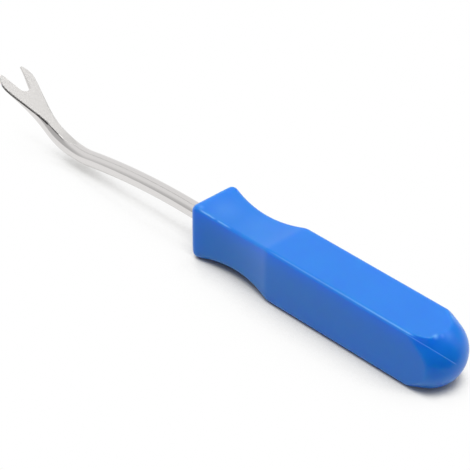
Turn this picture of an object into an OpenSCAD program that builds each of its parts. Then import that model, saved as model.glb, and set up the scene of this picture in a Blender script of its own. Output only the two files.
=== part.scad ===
// Trim removal tool: a moulded square grip on a bent steel shaft, pressed to a notched fork.
// The frame has +X towards the domed butt of the grip and +Z up.
// The grip lies on z = 0, and the origin is the middle of the flat that it lies on.

/* [Grip] */
// Width of the grip across its two sides
grip_w = 20.2; // [16:0.2:28]
// Height of the grip from the flat it lies on to its top
grip_h = 21.6; // [16:0.2:28]
// Rounding of the four long edges
edge_round = 2; // [1:0.1:4]
// Length of the straight grip, from the waist to the start of the dome
grip_len = 65; // [45:0.5:100]
// Height of the shoulder where the long edges stand proud of the dome
shoulder_h = 1.4; // [0.2:0.1:2]
// Length over which the shoulder runs out into the dome
shoulder_len = 4; // [1:0.1:6]

/* [Waist] */
// Length of the hollowed waist behind the front rim
waist_len = 34.4; // [24:0.2:50]
// Depth of the hollow on each of the four sides
waist_depth = 2.1; // [0.8:0.1:3]
// Length of the flat rim in front of the waist
rim_len = 3; // [2.5:0.1:8]
// Rounding of the front edges of the rim
rim_round = 2.3; // [0.5:0.1:2.4]
// Rounding of the four corners of the rim
corner_round = 3; // [0.5:0.1:3.5]

/* [Shaft] */
// Diameter of the round steel bar
rod_d = 6; // [4:0.1:8]
// Straight length in front of the grip
lead_len = 12.2; // [1:0.1:25]
// Bending radius of the long arch that falls away from the grip
arch_r = 302; // [200:1:600]
// Angle that the arch falls through
arch_deg = 9.9; // [4:0.1:14]
// Bending radius of the heel under the fork
heel_r = 30; // [15:0.5:45]
// Angle that the heel turns upwards
heel_deg = 38.1; // [20:0.1:50]

/* [Fork] */
// Length of the fork along its own curve, from the heel to the tips
fork_len = 29.7; // [24:0.1:45]
// Angle that the fork curls up along its length
fork_deg = 2.4; // [0.5:0.1:16]
// Width that the fork flares out to, before its two noses are rounded
fork_w = 15.2; // [12:0.1:20]
// Thickness at the tips
tip_t = 0.9; // [0.6:0.1:2]
// Length of the heel that stays round before the pressing starts
round_len = 8; // [2:0.2:12]
// Length of the pressed neck before it flares out
neck_len = 15; // [10:0.2:20]
// Swelling of the underside below the pressed neck
belly_h = 2.5; // [0:0.1:3]
// Length of the rounded nose of each tine
nose_len = 7; // [3:0.1:9]
// Width of the blunt end left on each tine
blunt_w = 0.8; // [0.2:0.1:1]
// Height of the thin wall round the edge of the fork
edge_h = 0.25; // [0.15:0.05:0.3]
// Depth of the notch between the tines
notch_depth = 10.3; // [8:0.1:16]
// Radius of the round root of the notch
notch_r = 2.45; // [2.2:0.05:3.5]
// Half of the angle between the walls of the notch
notch_deg = 13.5; // [8:0.5:17]

/* [Tang] */
// Length of bar that is moulded into the grip
tang_len = 72; // [40:1:90]
// Distance from the front of the grip to the pressed ears
ear_setback = 46; // [10:1:60]
// Length of the pressed ears along the bar
ear_len = 12; // [6:0.5:20]
// Width over the pressed ears
ear_w = 9; // [8.4:0.1:12]
// Thickness of the pressed ears
ear_t = 2; // [1:0.1:3]
// Gap all round between the bar and its moulded socket
socket_gap = 0.03; // [0.01:0.01:0.1]

/* [Hidden] */
$fn = 96;

// Grip sizes
half_w = grip_w / 2;
half_h = grip_h / 2;
edge_cut = edge_round * (1 - sqrt(0.5));
corner_r = norm([half_w - edge_cut, half_h - edge_cut]);
dome_r = corner_r - shoulder_h;
waist_x = -grip_len / 2;
dome_x = grip_len / 2;
front_x = waist_x - waist_len - rim_len;
waist_mid_x = waist_x - waist_len / 2;
corner_waist_depth = waist_depth * sqrt(2);
cut_over = 1;

// Bar path: climb angles at the ends of its stretches, and the points there as [x, z]
rod_r = rod_d / 2;
deg_per_rad = 180 / PI;
heel_len = heel_r * heel_deg / deg_per_rad;
fork_r = fork_len / fork_deg * deg_per_rad;
press_end = heel_len + fork_len;
press_len = press_end - round_len;
heel_climb = -arch_deg;
fork_climb = heel_deg - arch_deg;
tip_climb = fork_climb + fork_deg;
arch_center = [front_x - lead_len, half_h - arch_r];
heel_start = arch_center + arch_r * up(heel_climb);
heel_center = heel_start + heel_r * up(heel_climb);
heel_end = heel_center - heel_r * up(fork_climb);
fork_center = heel_end + fork_r * up(fork_climb);
tip = fork_center - fork_r * up(tip_climb);

// Pressed end: half width at the mouth of the notch, and how finely the skin is laid out
notch_root_x = notch_depth - notch_r;
mouth_half = notch_half(0);
tine_end_half = mouth_half + blunt_w;
nose_start = press_end - nose_len;
nose_power = 0.85;
skin_rings = 44;
quarter_steps = 9;
ring_points = 4 * quarter_steps + 1;
steepest_deg = 89;
seam_step = 0.02;

// Unit vector that stands on a path climbing at angle a
function up(a) = [sin(a), cos(a)];

// Radius of the arc over a chord with the given height
function arc_radius(chord, height) = (chord * chord / 4 + height * height) / (2 * height);

// Half width of the notch at a distance x behind the tips
function notch_half(x) =
    notch_r * cos(notch_deg) + (notch_root_x + notch_r * sin(notch_deg) - x) * tan(notch_deg);

// Climb angle and place on the path at a distance s past the start of the heel
function climb(s) =
    s < heel_len ? heel_climb + s / heel_r * deg_per_rad
                 : fork_climb + (s - heel_len) / fork_r * deg_per_rad;
function place(s) =
    s < heel_len ? heel_center - heel_r * up(climb(s))
                 : fork_center - fork_r * up(climb(s));

// Share of the pressing done at s, from 0 at the round bar to 1 at the tips
function pressed(s) = max(0, (s - round_len) / press_len);

// Height of the flat face over the path, and depth of the underside below it
function flat_height(p) = tip_t / 2 + (rod_r - tip_t / 2) * pow(1 - p, 1.4);
function belly_swell(p) = p * pow(1 - p, 1.5) / (0.4 * pow(0.6, 1.5));
function under_depth(p) =
    tip_t / 2 + (rod_r - tip_t / 2) * pow(1 - p, 1.5) + belly_h * belly_swell(p);

// Half width: the bar, then a cosine flare, then a rounded nose
function flare(s) =
    (1 - cos(180 * min(1, max(0, s - round_len - neck_len) / (press_len - neck_len)))) / 2;
function nose(s) = pow(max(0, 1 - pow(max(0, s - nose_start) / nose_len, 2)), nose_power);
function flared_half(s) = rod_r + (fork_w / 2 - rod_r) * flare(s);
function half_width(s) = tine_end_half + (flared_half(s) - tine_end_half) * nose_or_one(s);
function nose_or_one(s) = s < nose_start ? 1 : nose(s);

// Section of the pressed end as [across, height]: a flat top with a sloping or upright edge
// down to the widest line, and a round underside below that line
function section(s) =
    let (
        p = pressed(s),
        w = half_width(s),
        edge = edge_h + (flat_height(p) - edge_h) * (1 - flare(s)),
        widest = flat_height(p) - edge,
        depth = under_depth(p) + widest,
        top_deg = min(steepest_deg, asin(edge / rod_r)),
        edge_step = top_deg / quarter_steps,
        under_step = 90 / quarter_steps
    )
    concat(
        [for (i = [quarter_steps : -1 : 0])
            [w * cos(i * edge_step), widest + rod_r * sin(i * edge_step)]],
        [for (i = [1 : 2 * quarter_steps - 1])
            [w * cos(i * under_step), widest - depth * sin(i * under_step)]],
        [for (i = [0 : quarter_steps])
            [-w * cos(i * edge_step), widest + rod_r * sin(i * edge_step)]]
    );

// Outline of the grip for one of its two widths: a bar with a rounded front and two hollows
module grip_outline(half) {
    hollow_r = arc_radius(waist_len, waist_depth);
    difference() {
        union() {
            translate([front_x + rim_round, -half])
                square([dome_x + corner_r - front_x - rim_round, 2 * half]);
            translate([front_x, -half + rim_round])
                square([2 * rim_round, 2 * (half - rim_round)]);
            for (side = [-1, 1])
                translate([front_x + rim_round, side * (half - rim_round)]) circle(rim_round);
        }
        for (side = [-1, 1])
            translate([waist_mid_x, side * (half - waist_depth + hollow_r)]) circle(hollow_r);
    }
}

// Half section of the turned envelope that rounds the long edges and makes the dome
module envelope_profile() {
    hollow_r = arc_radius(waist_len, corner_waist_depth);
    shoulder_end = dome_x + shoulder_len;
    difference() {
        union() {
            translate([0, front_x + corner_round])
                square([corner_r, dome_x - front_x - corner_round]);
            translate([0, front_x]) square([corner_r - corner_round, 2 * corner_round]);
            translate([corner_r - corner_round, front_x + corner_round]) circle(corner_round);
            polygon([
                [0, dome_x - cut_over],
                [corner_r, dome_x - cut_over],
                [corner_r, dome_x],
                [sqrt(dome_r * dome_r - shoulder_len * shoulder_len), shoulder_end],
                [0, shoulder_end]
            ]);
            intersection() {
                translate([0, dome_x]) circle(dome_r);
                translate([0, dome_x]) square([dome_r, dome_r]);
            }
        }
        translate([corner_r - corner_waist_depth + hollow_r, waist_mid_x]) circle(hollow_r);
    }
}

// Grip without its socket: two crossed outlines inside the turned envelope
module grip_block() {
    intersection() {
        rotate([90, 0, 0]) linear_extrude(2 * grip_w, center = true) grip_outline(half_h);
        linear_extrude(2 * grip_h, center = true) grip_outline(half_w);
        rotate([0, 90, 0]) rotate_extrude() envelope_profile();
    }
}

// Bar end inside the grip, with a gap all round it and room at its mouth
module tang(gap, mouth) {
    translate([front_x - mouth, 0, 0])
        rotate([0, 90, 0]) cylinder(h = tang_len + mouth + gap, r = rod_r + gap);
    translate([front_x + ear_setback - gap, -ear_w / 2 - gap, -ear_t / 2 - gap])
        cube([ear_len + 2 * gap, ear_w + 2 * gap, ear_t + 2 * gap]);
}

// Skin from the heel to the tips, one ring of points for each place on the path
module pressed_end() {
    rings = [
        for (k = [0 : skin_rings])
            let (
                s = press_end * k / skin_rings,
                shrink = k == 0 ? 1 - seam_step / rod_r : 1,
                at = place(s),
                n = up(climb(s))
            )
            [for (q = section(s)) [at[0] + shrink * q[1] * n[0], shrink * q[0],
                at[1] + shrink * q[1] * n[1]]]
    ];
    walls = [
        for (k = [0 : skin_rings - 1], j = [0 : ring_points - 1])
            let (
                a = k * ring_points + j,
                b = k * ring_points + (j + 1) % ring_points,
                c = b + ring_points,
                d = a + ring_points
            )
            each [[a, c, b], [a, d, c]]
    ];
    start_cap = [for (j = [0 : ring_points - 1]) j];
    end_cap = [for (j = [ring_points - 1 : -1 : 0]) skin_rings * ring_points + j];
    polyhedron(
        points = [for (ring = rings) each ring],
        faces = concat(walls, [start_cap, end_cap]),
        convexity = 6
    );
}

// Plan of the notch, seen square to the fork, with the tips at x = 0
module notch_outline() {
    wall_x = notch_root_x + notch_r * sin(notch_deg);
    translate([notch_root_x, 0]) circle(notch_r);
    polygon([
        [wall_x, notch_half(wall_x)],
        [-cut_over, notch_half(-cut_over)],
        [-cut_over, -notch_half(-cut_over)],
        [wall_x, -notch_half(wall_x)]
    ]);
}

// Blue moulded grip with the socket that closes round the tang
module handle() {
    color([0.16, 0.40, 0.85])
        translate([0, 0, half_h])
            difference() {
                grip_block();
                tang(socket_gap, cut_over);
            }
}

// Bright steel shaft: tang, straight lead, long arch, heel and notched fork
module forked_shaft() {
    color([0.78, 0.79, 0.82]) {
        translate([0, 0, half_h]) tang(0, lead_len);
        translate([arch_center[0], 0, arch_center[1]])
            rotate([90, 0, 0])
                rotate([0, 0, 90])
                    rotate_extrude(angle = arch_deg) translate([arch_r, 0]) circle(rod_r);
        difference() {
            pressed_end();
            translate([tip[0], 0, tip[1]])
                rotate([0, tip_climb, 0])
                    linear_extrude(2 * fork_w, center = true) notch_outline();
        }
    }
}

handle();
forked_shaft();
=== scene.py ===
import math

import bpy
import numpy as np
from mathutils import Matrix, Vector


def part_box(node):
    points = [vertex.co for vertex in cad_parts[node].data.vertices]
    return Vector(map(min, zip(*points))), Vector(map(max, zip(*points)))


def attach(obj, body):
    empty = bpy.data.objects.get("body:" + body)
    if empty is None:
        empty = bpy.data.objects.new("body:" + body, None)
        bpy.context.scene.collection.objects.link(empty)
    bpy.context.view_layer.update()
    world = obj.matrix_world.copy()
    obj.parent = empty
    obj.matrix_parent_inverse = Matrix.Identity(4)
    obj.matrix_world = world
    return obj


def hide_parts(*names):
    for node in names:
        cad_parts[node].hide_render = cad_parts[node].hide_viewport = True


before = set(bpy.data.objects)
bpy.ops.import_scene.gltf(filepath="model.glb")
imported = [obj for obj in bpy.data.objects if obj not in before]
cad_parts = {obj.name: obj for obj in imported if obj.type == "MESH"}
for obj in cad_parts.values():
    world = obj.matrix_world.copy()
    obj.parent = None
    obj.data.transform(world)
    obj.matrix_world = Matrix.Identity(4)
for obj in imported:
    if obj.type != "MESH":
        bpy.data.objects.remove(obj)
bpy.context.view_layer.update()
mm = 0.001                                        # the sizes below are in millimetres
tiny = 1e-6
handleLow, handleHigh = [np.array(corner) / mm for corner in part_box("handle")]
axisHeight = (handleLow[2] + handleHigh[2]) / 2   # the bar runs along the middle of the grip
frontX = handleLow[0]                             # front face of the grip
print("frame loaded:", ", ".join(sorted(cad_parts)))


# plain helpers for whole arrays

def smoothStep(value, start, end):
    # from 0 at the start to 1 at the end: three times the share squared less twice its cube
    share = np.clip((value - start) / (end - start), 0, 1)
    return share * share * (3 - 2 * share)


def softMin(a, b, blend):
    # the smaller of two values, with the corner between them rounded over the width blend
    near = np.maximum(blend - np.abs(a - b), 0) / blend
    return np.minimum(a, b) - near * near * blend / 4


def gridQuads(rows, columns):
    # four corner numbers for each cell between rows of points that close on themselves
    start = np.arange(rows * columns).reshape(rows, columns)
    nextColumn = np.roll(start, -1, axis=1)
    cells = np.stack([start[:-1], nextColumn[:-1], nextColumn[1:], start[1:]], axis=-1)
    return cells.reshape(-1, 4)


def newPiece(name, points, faces, sharpDeg):
    # points in millimetres become a smooth mesh, sharp where faces meet at more than an angle
    mesh = bpy.data.meshes.new(name)
    mesh.from_pydata((points * mm).tolist(), [], faces)
    mesh.validate()
    mesh.shade_smooth()
    mesh.set_sharp_from_angle(angle=math.radians(sharpDeg))
    piece = bpy.data.objects.new(name, mesh)
    bpy.context.scene.collection.objects.link(piece)
    return piece


# bar end inside the grip: a round bar with two flat ears that stop it turning

tang = {
    "length": 72.0,
    "barRadius": 3.0,
    "gap": 0.03,          # between the bar and its moulded socket
    "earStart": 46.0,     # behind the front of the grip
    "earLength": 12.0,
    "earWide": 9.0,
    "earThick": 2.0,
}


def tangRadius(angle, inEars, gap):
    # distance from the axis to the wall, round or out to the flat ears, at an angle from +Y
    bare = np.full_like(angle, tang["barRadius"] + gap)
    toTip = (tang["earWide"] / 2 + gap) / np.maximum(np.abs(np.cos(angle)), tiny)
    toFlat = (tang["earThick"] / 2 + gap) / np.maximum(np.abs(np.sin(angle)), tiny)
    return np.where(inEars, np.maximum(bare, np.minimum(toTip, toFlat)), bare)


def tangStations(gap):
    # places along the tang from its end to the front of its ears, doubled at the ears' ends
    earStart = frontX + tang["earStart"] - gap
    earEnd = earStart + tang["earLength"] + 2 * gap
    end = frontX + tang["length"] + gap
    x = np.array([end, earEnd, earEnd, earStart, earStart])
    inEars = np.array([False, False, True, True, False])
    return x, inEars


# grip: one moulding, square with round edges, hollowed behind the rim and domed at the butt

grip = {
    "straightLen": 65.0,
    "edgeRound": 1.15,      # at the two corners that the mould's parting runs along
    "topRound": 1.9,        # at the corner +Z +Y
    "lowRound": (2.0, 2.7),     # at the corner -Z -Y, along the straight grip and at the rim
    "lowFade": (30.0, 50.0),    # where it goes from one to the other, ahead of the origin
    "lipEdge": 0.4,         # least round that the edges keep on the rim's lip
    "lipShrink": 4.0,       # and how fast they come down to it
    "crown": 0.25,          # how far the two sides lean in at their edges
    "crownPower": 4.5,
    "domeBlend": 0.35,      # how softly the flats run into the dome
    "poleEase": (-0.01, 0.2),   # reach over which the dome closes on its pole
    "shoulderBack": 1.7,    # where the corners start to run out, before the dome's middle
    "lateDome": {"turn": 122, "by": 3.7, "wideTop": 17, "wideSide": 11},  # beside the corner +Z -Y
    "earlyDome": {"turn": 160, "by": 1.0, "wide": 20},
    "leanRise": 8.0,        # length before the dome in which its late or early start comes in
    "leanFall": (0.5, 8.0),     # and where that goes out again, behind the dome's start
    "waistLen": 34.4,
    "waistDepth": 2.1,
    "waistBlend": 0.3,      # how softly the hollows start and end
    "rimRound": 2.6,
    "rimCornerRound": 3.4,
    "rimBlend": 0.2,
    "mouthChamfer": 0.35,   # at the socket in the front face
    "faceShares": (0.3, 0.6, 0.85, 1.0),    # rings of the front face, from its rim to the socket
    "edgeLine": {           # lip along the mould's edge, painted pale as a highlight line
        "turn": 40, "high": 0.05, "wide": 0.26, "highlightShare": 1.0,
        "rimStart": (3.5, 6.5), "rimEnd": (15.0, 19.0),     # behind the front face
        "nickAt": 11.3, "nickWide": 0.8, "nickDeep": 0.9,
        "backStart": (-34.0, -24.0), "backShare": 0.6,
        "buttRise": (-2.0, 20.0), "buttEnd": (30.0, 33.0),
    },
    "flash": {              # where the mould's halves met, painted pale as a highlight line
        "turn": 70, "high": 0.06, "wide": 0.13, "highlightShare": 0.6,
        "faint": 0.12, "clear": (27.0, 33.0),
    },
    "lineFadeDeg": (74.0, 85.0),    # tilt on the dome at which both lines run out
    "highlightSpots": (               # places painted pale as highlights, glints on the dome's crease and sheen on the rim and waist top: x, y, size, strength
        (38.6, -4.6, 0.8, 1.0), (39.9, -2.5, 0.75, 0.9), (40.8, -0.4, 1.6, 0.35),
        (-66.0, -7.8, 0.9, 0.4), (-60.5, -2.0, 5.5, 0.22), (-48.0, 0.0, 6.0, 0.08),
    ),
    "domeRows": 60,
    "coneRows": 44,
    "coneBack": 4.0,        # how far the cone's rows reach back before the dome
    "straightRows": 22,
    "hollowRows": 78,
    "hollowLead": 3.0,      # how far behind the waist its rows start
    "lipRows": 15,
    "flatColumns": 36,
    "cornerColumns": 14,
    "flashColumns": 54,     # on the two corners that the mould's parting runs along
    "sharpDeg": 50,
}


def gripTemplate():
    # one lap of a rounded rectangle, as multipliers of the straight half sides and of the round,
    # and how far each column belongs to the softer corners +Z +Y and -Z -Y
    straight, turned, top, low = [], [], [], []
    for side in range(4):
        atParting = side in (1, 3)
        columns = grip["flashColumns"] if atParting else grip["cornerColumns"]
        flat = np.linspace(-1, 1, grip["flatColumns"], endpoint=False)
        bend = np.linspace(0, np.pi / 2, columns, endpoint=False)
        corner = np.ones_like(bend)
        sideStraight = np.concatenate([flat * 1j + 1, corner + 1j * corner])
        sideTurned = np.concatenate([np.ones_like(flat) + 0j, np.exp(1j * bend)])
        straight.append(sideStraight * 1j ** side)
        turned.append(sideTurned * 1j ** side)
        if atParting:
            soft = np.concatenate([(1 - flat) / 2, 0 * bend])
        else:
            soft = np.concatenate([(1 + flat) / 2, corner])
        top.append(soft if side < 2 else 0 * soft)
        low.append(soft if side > 1 else 0 * soft)
    return [np.concatenate(part) for part in (straight, turned, top, low)]


def gripProfile():
    # rows from the pole of the dome to the front face: place, half width and half height of the
    # flats, reach of the turned envelope that cuts the corners, and tilt of the outward direction
    # towards +X
    halfWide, halfHigh = handleHigh[1], (handleHigh[2] - handleLow[2]) / 2
    cut = grip["edgeRound"] * (1 - math.sqrt(0.5))
    cornerReach = math.hypot(halfWide - cut - grip["crown"], halfHigh - cut)
    domeX = grip["straightLen"] / 2
    domeRadius = handleHigh[0] - domeX
    # a cone from the corners touches the dome at this angle from its middle
    before = grip["shoulderBack"]
    shoulder = math.acos(domeRadius / math.hypot(cornerReach, before))
    shoulder = shoulder - math.atan2(before, cornerReach)
    ballStart = domeRadius * math.sin(shoulder)
    waistX = -domeX
    rimX = waistX - grip["waistLen"]
    coneEnd = -grip["coneBack"]
    hollowStart = waistX + grip["hollowLead"]
    turn = np.linspace(np.pi / 2, shoulder, grip["domeRows"])[1:]
    coneX = np.linspace(ballStart, coneEnd, grip["coneRows"])[1:]
    straightX = np.linspace(domeX + coneEnd, hollowStart, grip["straightRows"])[1:]
    hollowX = np.linspace(hollowStart, rimX, grip["hollowRows"])[1:]
    lip = np.linspace(0, np.pi / 2, grip["lipRows"])
    lipX = frontX + grip["rimRound"] * (1 - np.sin(lip))
    x = np.concatenate([domeX + domeRadius * np.sin(turn), domeX + coneX, straightX, hollowX, lipX])
    fromDome = x - domeX
    cone = cornerReach - (fromDome + before) * math.tan(shoulder)
    ball = np.sqrt(np.maximum(domeRadius ** 2 - fromDome ** 2, 0))
    reach = np.where(fromDome > ballStart, ball, cone)
    toCorner = np.clip(frontX + grip["rimCornerRound"] - x, 0, grip["rimCornerRound"])
    frontReach = cornerReach - grip["rimCornerRound"]
    frontReach = frontReach + np.sqrt(grip["rimCornerRound"] ** 2 - toCorner ** 2)
    reach = softMin(reach, frontReach, grip["rimBlend"])
    # the waist is an arc of a circle through both its ends
    hollowRadius = (grip["waistLen"] ** 2 / 4 + grip["waistDepth"] ** 2) / (2 * grip["waistDepth"])
    fromMiddle = np.clip(x - (waistX + rimX) / 2, -hollowRadius, hollowRadius)
    hollow = np.sqrt(hollowRadius ** 2 - fromMiddle ** 2) - hollowRadius + grip["waistDepth"]
    inset = -softMin(-hollow, np.zeros_like(x), grip["waistBlend"])
    roundOff = np.clip(frontX + grip["rimRound"] - x, 0, grip["rimRound"])
    inset = inset + grip["rimRound"] - np.sqrt(grip["rimRound"] ** 2 - roundOff ** 2)
    tilt = np.where(fromDome > 0, np.clip(fromDome / domeRadius, 0, 1), -roundOff / grip["rimRound"])
    return x, halfWide - inset, halfHigh - inset, reach, np.arcsin(tilt)


def edgeLineStrength(x):
    # lip and its painted highlight: strong at the rim with a nick in it, gone over the waist, back
    # again up to the dome
    lip = grip["edgeLine"]
    behind = x - frontX
    atRim = smoothStep(behind, *lip["rimStart"]) * (1 - smoothStep(behind, *lip["rimEnd"]))
    nick = lip["nickDeep"] * np.exp(-((behind - lip["nickAt"]) / lip["nickWide"]) ** 2)
    atButt = lip["backShare"] * smoothStep(x, *lip["backStart"])
    atButt = atButt + (1 - lip["backShare"]) * smoothStep(x, *lip["buttRise"])
    atButt = atButt * (1 - smoothStep(x, *lip["buttEnd"]))
    return np.maximum(atRim * (1 - nick), atButt)


def flashStrength(x):
    # faint along the grip, clear over the dome
    return np.maximum(grip["flash"]["faint"], smoothStep(x, *grip["flash"]["clear"]))


def mouldLines(angle, out, x):
    # two thin beads on each of the two corners at +Z -Y and -Z +Y, each a bell curve across one
    # column, and how much pale painted highlight the plastic gets there
    corner = grip["flatColumns"] * 2 + grip["cornerColumns"]
    halfLap = corner + grip["flashColumns"]
    bead = np.zeros_like(out)
    highlightShare = np.zeros_like(out)
    lines = ((grip["edgeLine"], edgeLineStrength(x)), (grip["flash"], flashStrength(x)))
    for line, strength in lines:
        column = corner + round(grip["flashColumns"] * line["turn"] / 90)
        for middle in (angle[:, [column]], angle[:, [column + halfLap]]):
            away = np.abs((angle - middle + np.pi) % (2 * np.pi) - np.pi) * out
            mark = strength[:, None] * np.exp(-(away / line["wide"]) ** 2)
            bead = bead + line["high"] * mark
            highlightShare = np.maximum(highlightShare, line["highlightShare"] * mark)
    return bead, highlightShare


def buildGrip():
    # each row is a rounded rectangle cut off at the reach of the turned envelope, and the rows run
    # from the pole over the rim and the front face into the socket
    straight, turned, softTop, softLow = gripTemplate()
    x, halfWide, halfHigh, reach, tilt = gripProfile()
    inset = handleHigh[1] - halfWide
    lowBack, lowFront = grip["lowRound"]
    lowRound = lowBack + (lowFront - lowBack) * smoothStep(-x, *grip["lowFade"])
    edge = grip["edgeRound"] + (grip["topRound"] - grip["edgeRound"]) * softTop
    edge = edge + (lowRound[:, None] - grip["edgeRound"]) * softLow
    pastWaist = np.clip(inset - grip["waistDepth"], 0, None)[:, None]
    edge = np.clip(edge - pastWaist * grip["lipShrink"], grip["lipEdge"], None)
    y = (halfWide[:, None] - edge) * straight.real + edge * turned.real
    z = (halfHigh[:, None] - edge) * straight.imag + edge * turned.imag
    # the sides are crowned: they lean in by a power of the height above or below the middle
    y = y * (1 - grip["crown"] / handleHigh[1] * np.abs(z / halfHigh[:, None]) ** grip["crownPower"])
    angle = np.arctan2(z, y)
    out = softMin(np.hypot(y, z), reach[:, None], grip["domeBlend"])
    out = out * smoothStep(reach, *grip["poleEase"])[:, None]
    bead, highlightShare = mouldLines(angle, out, x)
    fade = 1 - smoothStep(np.degrees(tilt), *grip["lineFadeDeg"])
    bead = bead * fade[:, None]
    highlightShare = highlightShare * fade[:, None]
    out = out + bead * np.cos(tilt)[:, None]
    # the dome starts later beside one corner and a little earlier on the side next to it, each by
    # a bell curve round the grip, and both shifts fade soon behind the crease
    late, early = grip["lateDome"], grip["earlyDome"]
    around = np.degrees(angle)
    wide = np.where(around < late["turn"], late["wideTop"], late["wideSide"])
    lean = late["by"] * np.exp(-((around - late["turn"]) / wide) ** 2)
    lean = lean - early["by"] * np.exp(-((around - early["turn"]) / early["wide"]) ** 2)
    fromDome = x - grip["straightLen"] / 2
    leaning = smoothStep(fromDome, -grip["leanRise"], 0)
    leaning = leaning * (1 - smoothStep(fromDome, *grip["leanFall"]))
    skin = np.stack([x[:, None] + bead * np.sin(tilt)[:, None] + lean * leaning[:, None],
                     out * np.cos(angle), out * np.sin(angle)], axis=-1)
    # the painted highlights are on the top, which is as high above the axis as the axis above the
    # floor
    for highlightX, highlightY, size, strength in grip["highlightSpots"]:
        apart = np.linalg.norm(skin - np.array([highlightX, highlightY, axisHeight]), axis=-1) / size
        highlightShare = np.maximum(highlightShare, strength * np.exp(-apart ** 2))
    # the front face closes on the mouth of the socket, and the socket ends in a flat bottom
    mouth = tang["barRadius"] + tang["gap"]
    frontAngle = angle[-1]
    share = np.array(grip["faceShares"])[:, None]
    faceOut = out[-1] * (1 - share) + (mouth + grip["mouthChamfer"]) * share
    face = np.stack([np.full_like(faceOut, frontX), faceOut * np.cos(frontAngle),
                     faceOut * np.sin(frontAngle)], axis=-1)
    depth, inEars = tangStations(tang["gap"])
    depth = np.append(depth, frontX + grip["mouthChamfer"])[::-1]
    inEars = np.append(inEars, False)[::-1]
    wallAngle = np.broadcast_to(frontAngle, (len(depth), len(frontAngle)))
    wallOut = tangRadius(wallAngle, inEars[:, None], tang["gap"])
    wall = np.stack([np.broadcast_to(depth[:, None], wallOut.shape), wallOut * np.cos(wallAngle),
                     wallOut * np.sin(wallAngle)], axis=-1)
    rows = np.concatenate([skin, face, wall])
    count, columns = rows.shape[:2]
    points = rows.reshape(-1, 3) + np.array([0, 0, axisHeight])
    quads = gridQuads(count, columns)[:, ::-1]
    last = np.arange((count - 1) * columns, count * columns)
    pole = len(points)
    points = np.vstack([points, [handleHigh[0], 0, axisHeight]])
    ring = np.arange(columns)
    fan = np.stack([np.full(columns, pole), np.roll(ring, -1), ring], axis=-1)[:, ::-1]
    faces = quads.tolist() + fan.tolist() + [last[::-1].tolist()]
    piece = newPiece("mouldedGrip", points, faces, grip["sharpDeg"])
    # painted highlight: pale lines along the mould's beads and pale spots on the dome's crease and the
    # rim's top
    paintedHighlight = np.zeros(len(points), np.float32)
    paintedHighlight[:highlightShare.size] = highlightShare.reshape(-1)
    piece.data.attributes.new("paintedHighlight", "FLOAT", "POINT").data.foreach_set("value", paintedHighlight)
    return piece


# shaft: a round bar bent down and up again, with its end pressed to a flat notched fork

shaft = {
    "leadLen": 12.2,
    "archRadius": 302.0,
    "archDeg": 9.9,
    "heelRadius": 30.0,
    "heelDeg": 38.1,
    "forkLen": 29.7,
    "forkDeg": 2.4,
    "forkWide": 15.2,       # what the fork flares out to, before its noses are rounded
    "tipThick": 0.9,
    "roundLen": 8.0,        # of the heel, before the pressing starts
    "neckLen": 15.0,
    "flatPower": 1.4,       # how the flat and the underside come down towards the tips
    "underPower": 1.5,
    "belly": 2.5,           # swelling under the pressed neck
    "noseLen": 7.0,
    "nosePower": 0.85,
    "bluntWide": 0.8,
    "edgeHigh": 0.5,        # of the side wall along the flared fork, thinning to the tips
    "edgeTip": 0.25,
    "edgeMostDeg": 86.0,    # highest angle of the flat's edge on the round
    "chamfer": 0.44,        # ground along both edges
    "chamferMost": 0.9,     # share of the side wall that it may take
    "groundStart": 14.9,    # behind the start of the pressing
    "groundEase": 0.4,
    "notchDepth": 10.3,
    "notchRadius": 2.45,
    "notchDeg": 13.5,
    "notchOff": 0.65,       # how far the root of the notch sits off the middle, towards +Y
    "offStart": 16.0,       # behind the tips, where the flat starts to shift with it
    "offFull": 9.0,
    "stripDeg": (25.0, 4.0),    # half the top strip of the round bar, and what it narrows to
    "stripEase": 4.0,
    "squeezeEnd": 0.3,      # pressed share at which the sides are flanks, no longer round
    "flankIn": 0.6,         # how much more the neck's flanks lean in, and how far down they reach
    "flankLow": 0.9,
    "flankRise": (0.02, 0.36),  # pressed shares between which that comes in
    "flankFade": (-3.0, 9.0),   # and where it goes out, from the start of the ground edge
    "flankStraight": 0.1,   # share of the flank's slope that is straight, the rest is hollow
    "edgeStep": 0.97,       # where there is no chamfer, the side starts just below the edge
    "edgeBevel": 0.12,
    "bevelSegments": 2,
    "sharpDeg": 32,
    "leadRows": 8,
    "archRows": 60,
    "roundRows": 14,
    "heelRows": 26,
    "forkRows": 44,
    "rootRows": 18,
    "tineRows": 36,
    "topColumns": 12,
    "sideColumns": 12,
    "underColumns": 22,
    "wallColumns": 3,
    "lapShare": 0.5,        # of the wrap's width, half a lap of the bar and the notch's wall
    "wallShare": 0.1,
}


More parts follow.
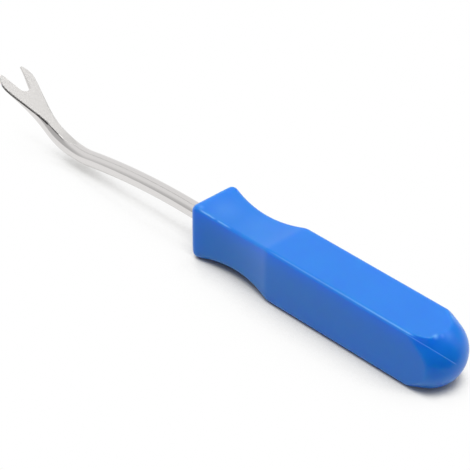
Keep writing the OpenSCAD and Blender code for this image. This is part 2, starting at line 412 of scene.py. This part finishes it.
def shaftStations():
    # distance along the bar from the front of the grip, negative in the tang, with every change
    # of stretch and the round root of the notch on a station of its own
    archLen = shaft["archRadius"] * math.radians(shaft["archDeg"])
    heelLen = shaft["heelRadius"] * math.radians(shaft["heelDeg"])
    heelStart = shaft["leadLen"] + archLen
    forkStart = heelStart + heelLen
    end = forkStart + shaft["forkLen"]
    knots = np.array([-tang["length"], shaft["leadLen"], heelStart, forkStart, end])
    forkClimb = shaft["heelDeg"] - shaft["archDeg"]
    climb = np.radians(np.array([0, 0, -shaft["archDeg"], forkClimb, forkClimb + shaft["forkDeg"]]))
    tangX, inEars = tangStations(0)
    inTang = frontX - tangX
    rootTurn = np.pi / 2 - math.radians(shaft["notchDeg"])
    rootAngle = np.linspace(0, rootTurn, shaft["rootRows"])
    rootBack = shaft["notchDepth"] - shaft["notchRadius"] * (1 - np.cos(rootAngle))
    pressStart = heelStart + shaft["roundLen"]
    along = np.concatenate([
        inTang,
        np.linspace(0, shaft["leadLen"], shaft["leadRows"]),
        np.linspace(shaft["leadLen"], heelStart, shaft["archRows"])[1:],
        np.linspace(heelStart, pressStart, shaft["roundRows"])[1:],
        np.linspace(pressStart, forkStart, shaft["heelRows"])[1:],
        np.linspace(forkStart, end - shaft["notchDepth"], shaft["forkRows"])[1:-1],
        end - rootBack,
        np.linspace(end - rootBack[-1], end, shaft["tineRows"])[1:],
    ])
    inEars = np.concatenate([inEars, np.zeros(len(along) - len(inEars), bool)])
    return along, inEars, np.interp(along, knots, climb), heelStart, end


def barPath(along, climb):
    # each step is the chord of an arc, so its length is the arc times sin(half turn) / half turn
    turn = np.diff(climb)
    chord = np.diff(along) * np.sinc(turn / (2 * np.pi))
    mean = (climb[:-1] + climb[1:]) / 2
    x = frontX - along[0] + np.concatenate([[0], np.cumsum(-chord * np.cos(mean))])
    z = axisHeight + np.concatenate([[0], np.cumsum(chord * np.sin(mean))])
    return x, z


def notchHalf(back):
    # half width of the notch at a distance behind the tips: straight walls into a round root
    slope = math.radians(shaft["notchDeg"])
    radius = shaft["notchRadius"]
    centre = shaft["notchDepth"] - radius
    wall = radius * math.cos(slope) + (centre + radius * math.sin(slope) - back) * math.tan(slope)
    root = np.sqrt(np.maximum(radius ** 2 - (back - centre) ** 2, 0))
    half = np.where(back > centre + radius * math.sin(slope), root, wall)
    return np.where(back >= shaft["notchDepth"] - tiny, 0, half)


def forkShape(along, heelStart, end):
    # how far each station is pressed, and from that the half width, the height of the widest
    # line, the depth of the underside and the height of the flat above the widest line
    radius = tang["barRadius"]
    tipHalf = shaft["tipThick"] / 2
    pressStart = heelStart + shaft["roundLen"]
    pressLen = end - pressStart
    pressed = np.clip((along - pressStart) / pressLen, 0, 1)
    flat = tipHalf + (radius - tipHalf) * (1 - pressed) ** shaft["flatPower"]
    power = shaft["underPower"]
    fullest = 1 / (1 + power)       # pressed share at which the belly is deepest
    swell = pressed * (1 - pressed) ** power / (fullest * (1 - fullest) ** power)
    under = tipHalf + (radius - tipHalf) * (1 - pressed) ** power + shaft["belly"] * swell
    flareLen = pressLen - shaft["neckLen"]
    flareShare = np.clip((along - pressStart - shaft["neckLen"]) / flareLen, 0, 1)
    flare = (1 - np.cos(np.pi * flareShare)) / 2
    half = radius + (shaft["forkWide"] / 2 - radius) * flare
    noseShare = np.clip((along - end + shaft["noseLen"]) / shaft["noseLen"], 0, 1)
    tineEnd = notchHalf(np.zeros(1))[0] + shaft["bluntWide"]
    half = tineEnd + (half - tineEnd) * (1 - noseShare ** 2) ** shaft["nosePower"]
    wall = shaft["edgeHigh"] + (shaft["edgeTip"] - shaft["edgeHigh"]) * noseShare ** 2
    edge = wall + (flat - wall) * (1 - flare)
    return pressed, half, flat - edge, under, edge


def buildShaft():
    # half a section stands across the path at each station: the bar's round, which goes over into
    # a flat, a sloping flank and a round belly as the bar is pressed
    along, inEars, climb, heelStart, end = shaftStations()
    pathX, pathZ = barPath(along, climb)
    pressed, half, widest, under, edge = forkShape(along, heelStart, end)
    radius = tang["barRadius"]
    pressStart = heelStart + shaft["roundLen"]
    back = end - along
    notch = notchHalf(back)
    # angle of the flat's edge on the bar's round, drawn in to a narrow strip where pressing starts
    wideDeg, narrowDeg = shaft["stripDeg"]
    drawnIn = smoothStep(along, heelStart - shaft["stripEase"], pressStart)
    strip = np.radians(wideDeg + (narrowDeg - wideDeg) * drawnIn)
    isRound = pressed <= 0
    edgeAngle = np.where(isRound, np.pi / 2 - strip, np.arcsin(np.clip(edge / radius, 0, 1)))
    edgeAngle = np.minimum(edgeAngle, np.radians(shaft["edgeMostDeg"]))
    ground = along - pressStart - shaft["groundStart"]
    chamfer = shaft["chamfer"] * smoothStep(ground, 0, shaft["groundEase"])
    chamfer = np.minimum(chamfer, edge * shaft["chamferMost"])
    sideAngle = np.where(isRound, edgeAngle, np.arcsin(np.clip((edge - chamfer) / radius, 0, 1)))
    sideAngle = np.minimum(sideAngle, edgeAngle)
    # how far the side is squeezed from the bar's round to a sloping flank, and how much of the
    # neck's extra lean it has
    squeezed = smoothStep(pressed, 0, shaft["squeezeEnd"])
    flank = smoothStep(pressed, *shaft["flankRise"]) * (1 - smoothStep(ground, *shaft["flankFade"]))
    half, widest, under, notch, edgeAngle = [
        row[:, None] for row in (half, widest, under, notch, edgeAngle)]
    sideAngle, chamfer, squeezed, flank = [
        row[:, None] for row in (sideAngle, chamfer, squeezed, flank)]
    inward = flank * shaft["flankIn"]
    lowLine = widest - flank * shaft["flankLow"]
    # half a section from the middle of its top round to the middle of its underside
    top = np.linspace(0, 1, shaft["topColumns"] + 1)
    onRound = np.pi / 2 - (np.pi / 2 - edgeAngle) * top
    flatEdge = half * np.cos(edgeAngle) - chamfer - inward
    topY = np.where(isRound[:, None], half * np.cos(onRound), notch + (flatEdge - notch) * top)
    topZ = np.where(isRound[:, None], widest + radius * np.sin(onRound),
                    widest + radius * np.sin(edgeAngle))
    down = np.linspace(1, 0, shaft["sideColumns"] + 1)[:-1]
    side = sideAngle * down
    side[:, 0] = np.where(chamfer[:, 0] > 0, side[:, 0], side[:, 0] * shaft["edgeStep"])
    slope = side / np.maximum(sideAngle, tiny)
    bent = shaft["flankStraight"] * slope + (1 - shaft["flankStraight"]) * slope ** 2
    slopeY = half - (half * (1 - np.cos(sideAngle)) + inward) * bent
    slopeZ = lowLine + (widest + radius * np.sin(sideAngle) - lowLine) * slope
    sideY = half * np.cos(side) * (1 - squeezed) + slopeY * squeezed
    sideZ = (widest + radius * np.sin(side)) * (1 - squeezed) + slopeZ * squeezed
    lowest = np.arccos(np.clip(notch / half, 0, 1))
    belly = lowest * np.linspace(0, 1, shaft["underColumns"] + 1)
    bellyY = half * np.cos(belly)
    bellyZ = lowLine - (under + lowLine) * np.sin(belly)
    y = np.concatenate([topY, sideY, bellyY], axis=1)
    z = np.concatenate([topZ, sideZ, bellyZ], axis=1)
    lapAngle = np.arctan2(z, y)
    inEars = inEars[:, None]
    earOut = tangRadius(lapAngle, inEars, 0)
    y = np.where(inEars, earOut * np.cos(lapAngle), y)
    z = np.where(inEars, earOut * np.sin(lapAngle), z)
    y[np.abs(y) < tiny] = 0
    # walls of the notch, from the underside up to the flat, from its root to the tips
    root = int(np.argmax(back <= shaft["notchDepth"] + tiny))
    rise = np.linspace(0, 1, shaft["wallColumns"] + 1)[1:-1]
    wallY = np.broadcast_to(y[root:, -1:], (len(along) - root, len(rise)))
    wallZ = z[root:, -1:] + (z[root:, :1] - z[root:, -1:]) * rise
    normalX, normalZ = np.sin(climb)[:, None], np.cos(climb)[:, None]

    def placed(sectionY, sectionZ, rows):
        # each section stands square to the path
        return np.stack([pathX[rows, None] + sectionZ * normalX[rows], sectionY,
                         pathZ[rows, None] + sectionZ * normalZ[rows]], axis=-1).reshape(-1, 3)

    count, columns = y.shape
    allRows = slice(0, count)
    wallRows = slice(root, count)
    points = np.vstack([placed(y, z, allRows), placed(wallY, wallZ, wallRows)])
    body = np.arange(count * columns).reshape(count, columns)
    wallBody = count * columns + np.arange(wallY.size).reshape(wallY.shape)
    wallGrid = np.hstack([body[root:, -1:], wallBody, body[root:, :1]])
    quads = np.vstack([
        np.stack([g[:-1, :-1], g[:-1, 1:], g[1:, 1:], g[1:, :-1]], axis=-1).reshape(-1, 4)
        for g in (body, wallGrid)])
    tipCap = np.concatenate([body[-1], wallBody[-1]])
    endCap = body[0][::-1]
    # the other half is its mirror image, and shares the points on the middle plane
    onPlane = points[:, 1] == 0
    mirrored = np.where(onPlane, np.arange(len(points)), len(points) + np.cumsum(~onPlane) - 1)
    allPoints = np.vstack([points, points[~onPlane] * np.array([1, -1, 1])])
    # the notch is pushed off the middle, less and less towards the outer edges, which stay
    off = shaft["notchOff"] * smoothStep(-back, -shaft["offStart"], -shaft["offFull"])[:, None]
    pushed = np.concatenate([(off * (1 - (y / half) ** 2)).reshape(-1),
                             (off[root:] * (1 - (wallY / half[root:]) ** 2)).reshape(-1)])
    allPoints[:, 1] += np.concatenate([pushed, pushed[~onPlane]])
    faces = quads.tolist() + mirrored[quads[:, ::-1]].tolist()
    faces = faces + [tipCap.tolist(), endCap.tolist()]
    faces = faces + [mirrored[tipCap[::-1]].tolist(), mirrored[endCap[::-1]].tolist()]
    piece = newPiece("pressedShaft", allPoints, faces, shaft["sharpDeg"])
    # distance along the bar and round it for the drawn streaks, and where the pressed face is
    lap = np.linspace(0, shaft["lapShare"], columns)[None, :]
    barUv = np.stack([np.broadcast_to(along[:, None] * mm, (count, columns)),
                      np.broadcast_to(lap, (count, columns))], axis=-1).reshape(-1, 2)
    wallLap = shaft["lapShare"] + shaft["wallShare"] * rise
    wallUv = np.stack([np.broadcast_to(along[root:, None] * mm, wallY.shape),
                       np.broadcast_to(wallLap, wallY.shape)], axis=-1).reshape(-1, 2)
    uv = np.vstack([barUv, wallUv])
    wholeLap = 2 * (shaft["lapShare"] + shaft["wallShare"])
    uv = np.vstack([uv, np.stack([uv[:, 0], wholeLap - uv[:, 1]], axis=-1)[~onPlane]])
    onFlat = np.zeros((count, columns))
    onFlat[:, :shaft["topColumns"] + 1] = (pressed > 0)[:, None]
    flatMask = np.concatenate([onFlat.reshape(-1), np.ones(wallY.size)])
    flatMask = np.concatenate([flatMask, flatMask[~onPlane]])
    mesh = piece.data
    corner = np.zeros(len(mesh.loops), np.int32)
    mesh.loops.foreach_get("vertex_index", corner)
    layer = mesh.uv_layers.new(name="barWrap")
    layer.data.foreach_set("uv", uv[corner].astype(np.float32).ravel())
    pressedFace = mesh.attributes.new("pressedFace", "FLOAT", "POINT")
    pressedFace.data.foreach_set("value", flatMask.astype(np.float32))
    bevel = piece.modifiers.new("softEdges", "BEVEL")
    bevel.width = shaft["edgeBevel"] * mm
    bevel.segments = shaft["bevelSegments"]
    bevel.limit_method = "ANGLE"
    bevel.angle_limit = math.radians(shaft["sharpDeg"])
    return piece


gripPiece = buildGrip()
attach(gripPiece, "root")
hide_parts("handle")
print("grip:", len(gripPiece.data.polygons), "faces")

shaftPiece = buildShaft()
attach(shaftPiece, "root")
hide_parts("forked_shaft")
print("shaft:", len(shaftPiece.data.polygons), "faces")


# materials

def addNode(tree, kind, **values):
    node = tree.nodes.new(kind)
    for name, value in values.items():
        setattr(node, name, value)
    return node


def setInputs(node, **values):
    for name, value in values.items():
        node.inputs[name].default_value = value
    return node


def startGroup(name, inputs, outputs):
    # an empty shader group with named sockets
    group = bpy.data.node_groups.new(name, "ShaderNodeTree")
    for label, kind in inputs:
        group.interface.new_socket(label, in_out="INPUT", socket_type=kind)
    for label, kind in outputs:
        group.interface.new_socket(label, in_out="OUTPUT", socket_type=kind)
    return group, addNode(group, "NodeGroupInput"), addNode(group, "NodeGroupOutput")


def makeGrainGroup():
    # two sizes of noise added up: Height for bump, Value for roughness, both from 0 to 1
    group, source, result = startGroup(
        "surfaceGrain",
        [("Vector", "NodeSocketVector"), ("Coarse", "NodeSocketFloat"), ("Fine", "NodeSocketFloat"),
         ("Fine Share", "NodeSocketFloat")],
        [("Height", "NodeSocketFloat"), ("Value", "NodeSocketFloat")])
    coarse = setInputs(addNode(group, "ShaderNodeTexNoise"), Detail=3.0, Roughness=0.55)
    fine = setInputs(addNode(group, "ShaderNodeTexNoise"), Detail=2.0, Roughness=0.6)
    both = addNode(group, "ShaderNodeMix", data_type="FLOAT")
    link = group.links.new
    link(source.outputs["Vector"], coarse.inputs["Vector"])
    link(source.outputs["Vector"], fine.inputs["Vector"])
    link(source.outputs["Coarse"], coarse.inputs["Scale"])
    link(source.outputs["Fine"], fine.inputs["Scale"])
    link(source.outputs["Fine Share"], both.inputs["Factor"])
    link(coarse.outputs["Fac"], both.inputs["A"])
    link(fine.outputs["Fac"], both.inputs["B"])
    link(both.outputs["Result"], result.inputs["Height"])
    link(coarse.outputs["Fac"], result.inputs["Value"])
    return group


def makeMarksGroup():
    # faint rubbed patches with fine hairlines in them, from handling: Mask from 0 to 1
    group, source, result = startGroup(
        "handlingMarks",
        [("Vector", "NodeSocketVector"), ("Patch Scale", "NodeSocketFloat"),
         ("Hair Scale", "NodeSocketFloat")],
        [("Mask", "NodeSocketFloat")])
    patch = setInputs(addNode(group, "ShaderNodeTexNoise"), Detail=2.0, Roughness=0.5)
    patchRange = setInputs(addNode(group, "ShaderNodeMapRange"), **{"From Min": 0.5, "From Max": 0.75})
    stretch = addNode(group, "ShaderNodeMapping", vector_type="POINT")
    stretch.inputs["Rotation"].default_value = (0.3, 0.2, 0.5)
    stretch.inputs["Scale"].default_value = (0.08, 1.0, 1.0)
    hair = setInputs(addNode(group, "ShaderNodeTexNoise"), Detail=4.0, Roughness=0.7)
    hairRange = setInputs(addNode(group, "ShaderNodeMapRange"), **{"From Min": 0.58, "From Max": 0.7})
    both = addNode(group, "ShaderNodeMath", operation="MULTIPLY")
    link = group.links.new
    link(source.outputs["Vector"], patch.inputs["Vector"])
    link(source.outputs["Patch Scale"], patch.inputs["Scale"])
    link(patch.outputs["Fac"], patchRange.inputs["Value"])
    link(source.outputs["Vector"], stretch.inputs["Vector"])
    link(stretch.outputs["Vector"], hair.inputs["Vector"])
    link(source.outputs["Hair Scale"], hair.inputs["Scale"])
    link(hair.outputs["Fac"], hairRange.inputs["Value"])
    link(patchRange.outputs["Result"], both.inputs[0])
    link(hairRange.outputs["Result"], both.inputs[1])
    link(both.outputs["Value"], result.inputs["Mask"])
    return group


grainGroup = makeGrainGroup()
marksGroup = makeMarksGroup()


def startMaterial(name):
    material = bpy.data.materials.new(name)
    material.use_nodes = True
    tree = material.node_tree
    shader = tree.nodes["Principled BSDF"]
    place = addNode(tree, "ShaderNodeTexCoord")
    return material, tree, shader, place


def placeGroup(tree, group, vector, **values):
    node = addNode(tree, "ShaderNodeGroup", node_tree=group)
    tree.links.new(vector, node.inputs["Vector"])
    return setInputs(node, **values)


def spread(tree, value, low, high):
    # a value from 0 to 1 laid out between two others
    node = setInputs(addNode(tree, "ShaderNodeMapRange"), **{"To Min": low, "To Max": high})
    tree.links.new(value, node.inputs["Value"])
    return node.outputs["Result"]


plastic = {
    "blue": (0.003, 0.206, 0.755, 1),
    "paleBlue": (0.004, 0.232, 0.81, 1),
    "rubbedBlue": (0.03, 0.27, 0.83, 1),
    # colour of the painted highlights along the mould's beads and on the crease and rim top
    "highlightBlue": (0.17, 0.44, 0.95, 1),
    "grain": {"Coarse": 60.0, "Fine": 2600.0, "Fine Share": 0.5},
    "marks": {"Patch Scale": 55.0, "Hair Scale": 900.0},
    "markShare": 0.35,
    "roughLow": 0.26,
    "roughHigh": 0.36,
    "bump": 0.05,
    "bumpHigh": 0.0002,     # in metres
    "body": {"IOR": 1.43, "Subsurface Weight": 1.0, "Subsurface Scale": 0.01,
             "Subsurface Radius": (0.15, 0.45, 1.0)},
}


def makePlastic():
    # clouded blue, rubbed by handling, with painted highlights along the mould's lines, on the dome's
    # crease and on the rim's top, and a fine grain
    material, tree, shader, place = startMaterial("gripPlastic")
    link = tree.links.new
    where = place.outputs["Object"]
    grain = placeGroup(tree, grainGroup, where, **plastic["grain"])
    marks = placeGroup(tree, marksGroup, where, **plastic["marks"])
    cloud = addNode(tree, "ShaderNodeMix", data_type="RGBA")
    cloud.inputs["A"].default_value = plastic["blue"]
    cloud.inputs["B"].default_value = plastic["paleBlue"]
    link(grain.outputs["Value"], cloud.inputs["Factor"])
    rubbed = addNode(tree, "ShaderNodeMix", data_type="RGBA")
    rubbed.inputs["B"].default_value = plastic["rubbedBlue"]
    link(cloud.outputs["Result"], rubbed.inputs["A"])
    link(spread(tree, marks.outputs["Mask"], 0.0, plastic["markShare"]), rubbed.inputs["Factor"])
    # how much painted highlight each point has, mixed into the base colour
    edge = addNode(tree, "ShaderNodeAttribute", attribute_name="paintedHighlight")
    highlighted = addNode(tree, "ShaderNodeMix", data_type="RGBA")
    highlighted.inputs["B"].default_value = plastic["highlightBlue"]
    link(rubbed.outputs["Result"], highlighted.inputs["A"])
    link(edge.outputs["Fac"], highlighted.inputs["Factor"])
    link(highlighted.outputs["Result"], shader.inputs["Base Color"])
    link(spread(tree, grain.outputs["Value"], plastic["roughLow"], plastic["roughHigh"]),
         shader.inputs["Roughness"])
    bump = setInputs(addNode(tree, "ShaderNodeBump"), Strength=plastic["bump"],
                     Distance=plastic["bumpHigh"])
    link(grain.outputs["Height"], bump.inputs["Height"])
    link(bump.outputs["Normal"], shader.inputs["Normal"])
    setInputs(shader, **plastic["body"])
    return material


steel = {
    "bright": (0.73, 0.71, 0.70, 1),
    "dull": (0.655, 0.64, 0.625, 1),
    "streakScale": (18.0, 60.0, 1.0),
    "streaks": {"Coarse": 1.0, "Fine": 3.0, "Fine Share": 0.5},     # drawn along the bar
    "grain": {"Coarse": 700.0, "Fine": 2400.0, "Fine Share": 0.55},     # of the pressed face
    "marks": {"Patch Scale": 120.0, "Hair Scale": 1500.0},
    "barRoughLow": 0.05,
    "barRoughHigh": 0.11,
    "faceRoughLow": 0.30,
    "faceRoughHigh": 0.48,
    "barBump": 0.05,
    "faceBump": 0.26,
    "bumpHigh": 0.0002,     # in metres
}


def makeSteel():
    # bright plating with streaks drawn along the bar, matt and grained on the pressed face
    material, tree, shader, place = startMaterial("platedSteel")
    link = tree.links.new
    where = place.outputs["Object"]
    face = addNode(tree, "ShaderNodeAttribute", attribute_name="pressedFace")
    wrap = addNode(tree, "ShaderNodeUVMap", uv_map="barWrap")
    stretch = addNode(tree, "ShaderNodeMapping", vector_type="POINT")
    stretch.inputs["Scale"].default_value = steel["streakScale"]
    link(wrap.outputs["UV"], stretch.inputs["Vector"])
    streak = placeGroup(tree, grainGroup, stretch.outputs["Vector"], **steel["streaks"])
    grain = placeGroup(tree, grainGroup, where, **steel["grain"])
    marks = placeGroup(tree, marksGroup, where, **steel["marks"])
    barRough = spread(tree, streak.outputs["Height"], steel["barRoughLow"], steel["barRoughHigh"])
    faceRough = spread(tree, grain.outputs["Value"], steel["faceRoughLow"], steel["faceRoughHigh"])
    rough = addNode(tree, "ShaderNodeMix", data_type="FLOAT")
    link(face.outputs["Fac"], rough.inputs["Factor"])
    link(barRough, rough.inputs["A"])
    link(faceRough, rough.inputs["B"])
    link(rough.outputs["Result"], shader.inputs["Roughness"])
    tone = addNode(tree, "ShaderNodeMix", data_type="RGBA")
    tone.inputs["A"].default_value = steel["bright"]
    tone.inputs["B"].default_value = steel["dull"]
    dulled = addNode(tree, "ShaderNodeMath", operation="MAXIMUM")
    link(marks.outputs["Mask"], dulled.inputs[0])
    link(face.outputs["Fac"], dulled.inputs[1])
    link(dulled.outputs["Value"], tone.inputs["Factor"])
    link(tone.outputs["Result"], shader.inputs["Base Color"])
    barHeight = spread(tree, streak.outputs["Height"], 0.0, steel["barBump"])
    faceHeight = spread(tree, grain.outputs["Height"], 0.0, steel["faceBump"])
    height = addNode(tree, "ShaderNodeMix", data_type="FLOAT")
    link(face.outputs["Fac"], height.inputs["Factor"])
    link(barHeight, height.inputs["A"])
    link(faceHeight, height.inputs["B"])
    bump = setInputs(addNode(tree, "ShaderNodeBump"), Strength=1.0, Distance=steel["bumpHigh"])
    link(height.outputs["Result"], bump.inputs["Height"])
    link(bump.outputs["Normal"], shader.inputs["Normal"])
    setInputs(shader, Metallic=1.0)
    return material


gripPiece.data.materials.append(makePlastic())
shaftPiece.data.materials.append(makeSteel())
print("materials: moulded plastic and plated steel")


# floor, light and camera

stage = {
    "floorCorners": ((-0.7, -0.7), (-0.028, -0.7), (0.168, 0.7), (-0.7, 0.7)),   # a white sheet
    "floorColour": (0.59, 0.575, 0.545, 1),
    "floorRough": 0.9,
    "openReach": 0.06,      # how near a thing has to stand to shade the sheet's white
    "openSamples": 8,
    "openFloor": (          # open share of the sky, whiteness of the sheet
        (0.45, 0.0), (0.55, 0.58), (0.62, 0.86), (0.75, 0.97), (1.0, 1.0),
    ),
    "keySize": 0.8,
    "keyPlace": (0.02, -0.12, 1.2),
    "keyWatts": 6.2,
    "spotSize": 0.32,
    "spotPlace": (0.24, 0.36, 0.92),
    "spotWatts": 0.4,
    "fillSize": 0.8,
    "fillPlace": (1.15, -0.1, 0.3),
    "fillWatts": 2.6,
    "backSky": 0.92,
    "frontSky": 0.56,
    "skyAim": (0.0, 1.0, 0.0),              # towards the back of the tent
    "skyTurn": (-0.85, -0.4),               # where it goes from the front's tone to the back's
    "roofEdge": (-0.628, 0.674, 0.387),     # the tent's roof ends here, towards the viewer
    "cardEdge": (0.606, 0.26, 0.75),        # and the white card on the left ends here
    "edgeSoft": 0.07,
    "darkRoom": 0.12,
    "gapAim": (0.1, 0.97, 0.21),            # a dark gap in the tent behind the tool
    "gapEdge": (0.9, 0.96),
    "gapTone": 0.3,
    "seam": (0.0, -0.995, 0.105),           # across the roof, mirrored as a thin line in the bar
    "seamWide": 0.04,
    "seamTone": 0.35,
}


def makeFloor():
    # a sheet of white paper that keeps the shade round the tool
    mesh = bpy.data.meshes.new("floor")
    mesh.from_pydata([(x, y, 0) for x, y in stage["floorCorners"]], [], [[0, 1, 2, 3]])
    floor = bpy.data.objects.new("floor", mesh)
    bpy.context.scene.collection.objects.link(floor)
    material = bpy.data.materials.new("whiteSheet")
    material.use_nodes = True
    tree = material.node_tree
    link = tree.links.new
    paper = setInputs(tree.nodes["Principled BSDF"], Roughness=stage["floorRough"],
                      **{"Base Color": stage["floorColour"], "Specular IOR Level": 0.0})
    # seen straight or mirrored, the sheet glows plain white where nothing stands near it; that glow
    # fades by an occlusion ramp near the tool, so the soft edge of the shade there is painted shade
    # over the lit paper's own shadow
    white = setInputs(addNode(tree, "ShaderNodeEmission"), Strength=1.0)
    openShare = addNode(tree, "ShaderNodeAmbientOcclusion", samples=stage["openSamples"])
    setInputs(openShare, Distance=stage["openReach"])
    curve = addNode(tree, "ShaderNodeFloatCurve")
    points = curve.mapping.curves[0].points
    points[0].location, points[1].location = stage["openFloor"][0], stage["openFloor"][-1]
    for place in stage["openFloor"][1:-1]:
        points.new(*place)
    curve.mapping.update()
    path = addNode(tree, "ShaderNodeLightPath")
    seen = addNode(tree, "ShaderNodeMath", operation="MAXIMUM")
    share = addNode(tree, "ShaderNodeMath", operation="MULTIPLY")
    mixed = addNode(tree, "ShaderNodeMixShader")
    link(openShare.outputs["AO"], curve.inputs["Value"])
    link(path.outputs["Is Camera Ray"], seen.inputs[0])
    link(path.outputs["Is Glossy Ray"], seen.inputs[1])
    link(seen.outputs["Value"], share.inputs[0])
    link(curve.outputs["Value"], share.inputs[1])
    link(share.outputs["Value"], mixed.inputs["Fac"])
    link(paper.outputs["BSDF"], mixed.inputs[1])
    link(white.outputs["Emission"], mixed.inputs[2])
    link(mixed.outputs["Shader"], tree.nodes["Material Output"].inputs["Surface"])
    mesh.materials.append(material)


def facingMatrix(place, back):
    # stands at a place with its back to a direction, upright
    side = np.cross([0, 0, 1], back)
    side = side / np.linalg.norm(side)
    matrix = np.eye(4)
    matrix[:3] = np.stack([side, np.cross(back, side), back, place], axis=-1)
    return Matrix(matrix.tolist())


def makeLamp(name, size, place, watts):
    # a round lamp that faces the origin
    lamp = bpy.data.lights.new(name, "AREA")
    lamp.shape = "DISK"
    lamp.size = size
    lamp.energy = watts
    holder = bpy.data.objects.new(name, lamp)
    bpy.context.scene.collection.objects.link(holder)
    holder.matrix_world = facingMatrix(np.array(place), np.array(place) / np.linalg.norm(place))
    return holder


def makeSky():
    # a white tent, brighter behind the tool than in front, open to a dark room at the viewer
    world = bpy.data.worlds.new("softTent")
    bpy.context.scene.world = world
    world.use_nodes = True
    tree = world.node_tree
    link = tree.links.new
    sky = tree.nodes["Background"]
    place = addNode(tree, "ShaderNodeTexCoord")

    def ramp(value, low, high, first, last):
        # from one tone to another as a value goes from low to high
        node = addNode(tree, "ShaderNodeMapRange", interpolation_type="SMOOTHSTEP")
        setInputs(node, **{"From Min": low, "From Max": high, "To Min": first, "To Max": last})
        link(value, node.inputs["Value"])
        return node.outputs["Result"]

    def toward(direction):
        # how far a look at the sky goes in a direction
        node = addNode(tree, "ShaderNodeVectorMath", operation="DOT_PRODUCT")
        node.inputs[1].default_value = direction
        link(place.outputs["Generated"], node.inputs[0])
        return node.outputs["Value"]

    def times(a, b):
        node = addNode(tree, "ShaderNodeMath", operation="MULTIPLY")
        link(a, node.inputs[0])
        link(b, node.inputs[1])
        return node.outputs["Value"]

    soft = stage["edgeSoft"]
    tent = ramp(toward(stage["skyAim"]), *stage["skyTurn"], stage["frontSky"], stage["backSky"])
    roof = ramp(toward(stage["roofEdge"]), -soft, soft, 1.0, 0.0)
    card = ramp(toward(stage["cardEdge"]), -soft, soft, 0.0, 1.0)
    dark = ramp(times(roof, card), 0.0, 1.0, 1.0, stage["darkRoom"])
    offSeam = addNode(tree, "ShaderNodeMath", operation="ABSOLUTE")
    link(toward(stage["seam"]), offSeam.inputs[0])
    seam = ramp(offSeam.outputs["Value"], 0.0, stage["seamWide"], stage["seamTone"], 1.0)
    gap = ramp(toward(stage["gapAim"]), *stage["gapEdge"], 1.0, stage["gapTone"])
    light = times(times(tent, dark), times(seam, gap))
    # behind the tool the camera sees plain white, while the steel mirrors the tent
    path = addNode(tree, "ShaderNodeLightPath")
    seen = addNode(tree, "ShaderNodeMix", data_type="FLOAT")
    seen.inputs["B"].default_value = 1.0
    link(path.outputs["Is Camera Ray"], seen.inputs["Factor"])
    link(light, seen.inputs["A"])
    link(seen.outputs["Result"], sky.inputs["Strength"])
    sky.inputs["Color"].default_value = (1, 1, 1, 1)


view = {
    "azimuth": 46.43,
    "elevation": 34.27,
    "aim": (-57.69, 0.0, 10.27),    # in millimetres
    "distance": 762.1,
    "lens": 169.83,
    "sensor": 36.0,
}


def makeCamera():
    # stands at its distance from the aim, turned from -Y towards +X and lifted
    turn, lift = math.radians(view["azimuth"]), math.radians(view["elevation"])
    level = math.cos(lift)
    back = np.array([math.sin(turn) * level, -math.cos(turn) * level, math.sin(lift)])
    data = bpy.data.cameras.new("viewer")
    data.lens = view["lens"]
    data.sensor_width = view["sensor"]
    camera = bpy.data.objects.new("viewer", data)
    bpy.context.scene.collection.objects.link(camera)
    camera.matrix_world = facingMatrix((np.array(view["aim"]) + back * view["distance"]) * mm, back)
    bpy.context.scene.camera = camera


makeFloor()
makeLamp("keyLamp", stage["keySize"], stage["keyPlace"], stage["keyWatts"])
makeLamp("spotLamp", stage["spotSize"], stage["spotPlace"], stage["spotWatts"])
fillLamp = makeLamp("fillLamp", stage["fillSize"], stage["fillPlace"], stage["fillWatts"])
fillLamp.visible_glossy = False     # it lifts the butt's shade without a mirror image of its own
makeSky()
makeCamera()
bpy.context.scene.view_settings.view_transform = "Standard"
print("stage: floor, three lamps, sky and camera")
